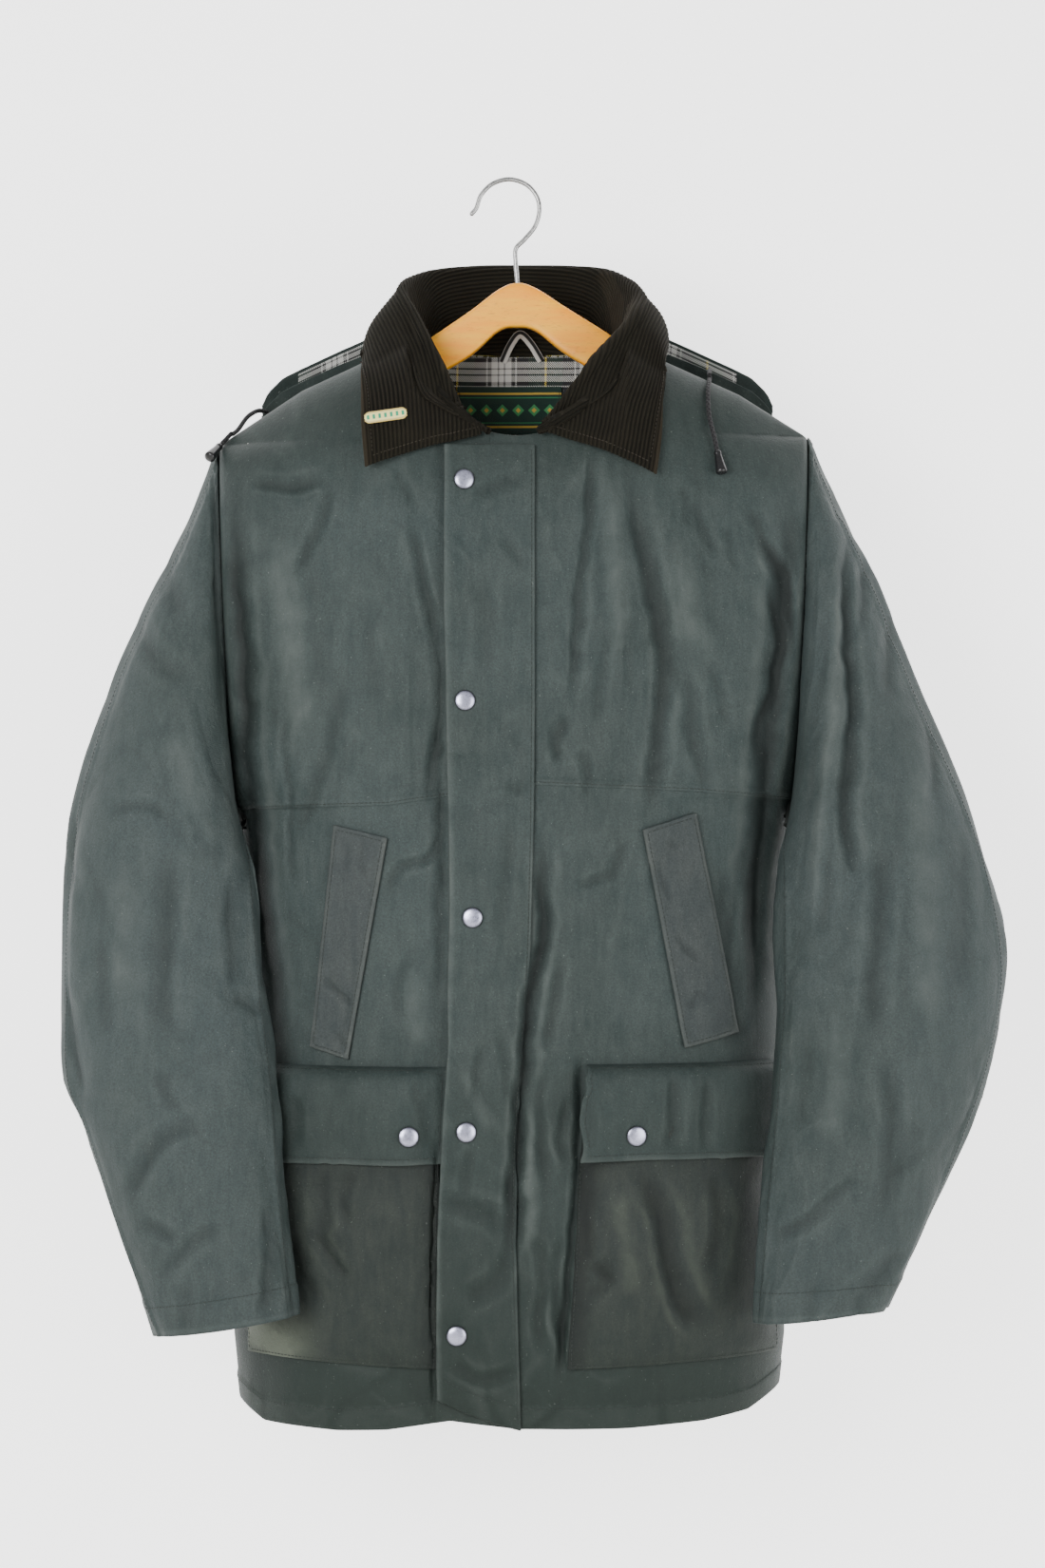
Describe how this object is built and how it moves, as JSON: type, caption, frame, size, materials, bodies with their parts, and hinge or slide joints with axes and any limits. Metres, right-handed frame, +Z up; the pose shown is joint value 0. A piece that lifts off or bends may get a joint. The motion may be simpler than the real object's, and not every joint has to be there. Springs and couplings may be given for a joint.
{
  "type": "waxed cotton jacket on a wooden hanger",
  "caption": "Thigh-length waxed cotton jacket with a corduroy collar, storm fly, flapped pockets and laid-back hood, hanging closed on a wooden hanger with a wire hook.",
  "frame": {"origin": "underside of the hook's crown, where a peg or rail carries the hanger", "axes": "+Z up, -Y the front of the jacket, +X the wearer's left; the hanger lies in the plane Y = 0"},
  "size_m": [0.692, 0.2275, 0.9274],
  "materials": {
    "waxed_cotton": "matt waxed cotton with a slight sheen, olive where it is worn",
    "faded_waxed_cotton": "the same waxed cotton, faded",
    "brown_corduroy": "matt ribbed corduroy pile",
    "tartan_lining": "matt brushed cotton check",
    "woven_label": "fine satin weave",
    "striped_tape": "woven black and white tape",
    "pewter_snap": "dull pewter plate",
    "black_cord": "braided matt cord",
    "black_plastic": "glossy moulded",
    "cream_enamel": "glossy enamel",
    "varnished_beech": "satin varnish",
    "steel_wire": "dull zinc plate"
  },
  "bodies": {
    "root": {"back": "waxed_cotton", "front_upper_right": "waxed_cotton", "front_upper_left": "waxed_cotton", "front_lower_right": "waxed_cotton", "front_lower_left": "waxed_cotton", "sleeve_top_right": "waxed_cotton", "sleeve_under_right": "waxed_cotton", "sleeve_top_left": "waxed_cotton", "sleeve_under_left": "waxed_cotton", "collar": "brown_corduroy", "collar_pin": "cream_enamel", "storm_fly": "waxed_cotton", "fly_snap_1": "pewter_snap", "fly_snap_2": "pewter_snap", "fly_snap_3": "pewter_snap", "fly_snap_4": "pewter_snap", "fly_snap_5": "pewter_snap", "flap_snap_right": "pewter_snap", "flap_snap_left": "pewter_snap", "welt_right": "faded_waxed_cotton", "welt_left": "faded_waxed_cotton", "pocket_bag_right": "faded_waxed_cotton", "pocket_bag_left": "faded_waxed_cotton", "pocket_flap_right": "waxed_cotton", "pocket_flap_left": "waxed_cotton", "hood_shell": "waxed_cotton", "hood_lining": "tartan_lining", "drawcord_right": "black_cord", "drawcord_left": "black_cord", "cord_end_right": "black_plastic", "cord_end_left": "black_plastic", "neck_lining": "tartan_lining", "neck_label": "woven_label", "hang_loop": "striped_tape", "hanger": "varnished_beech", "hanger_hook": "steel_wire"}
  },
  "joints": []
}
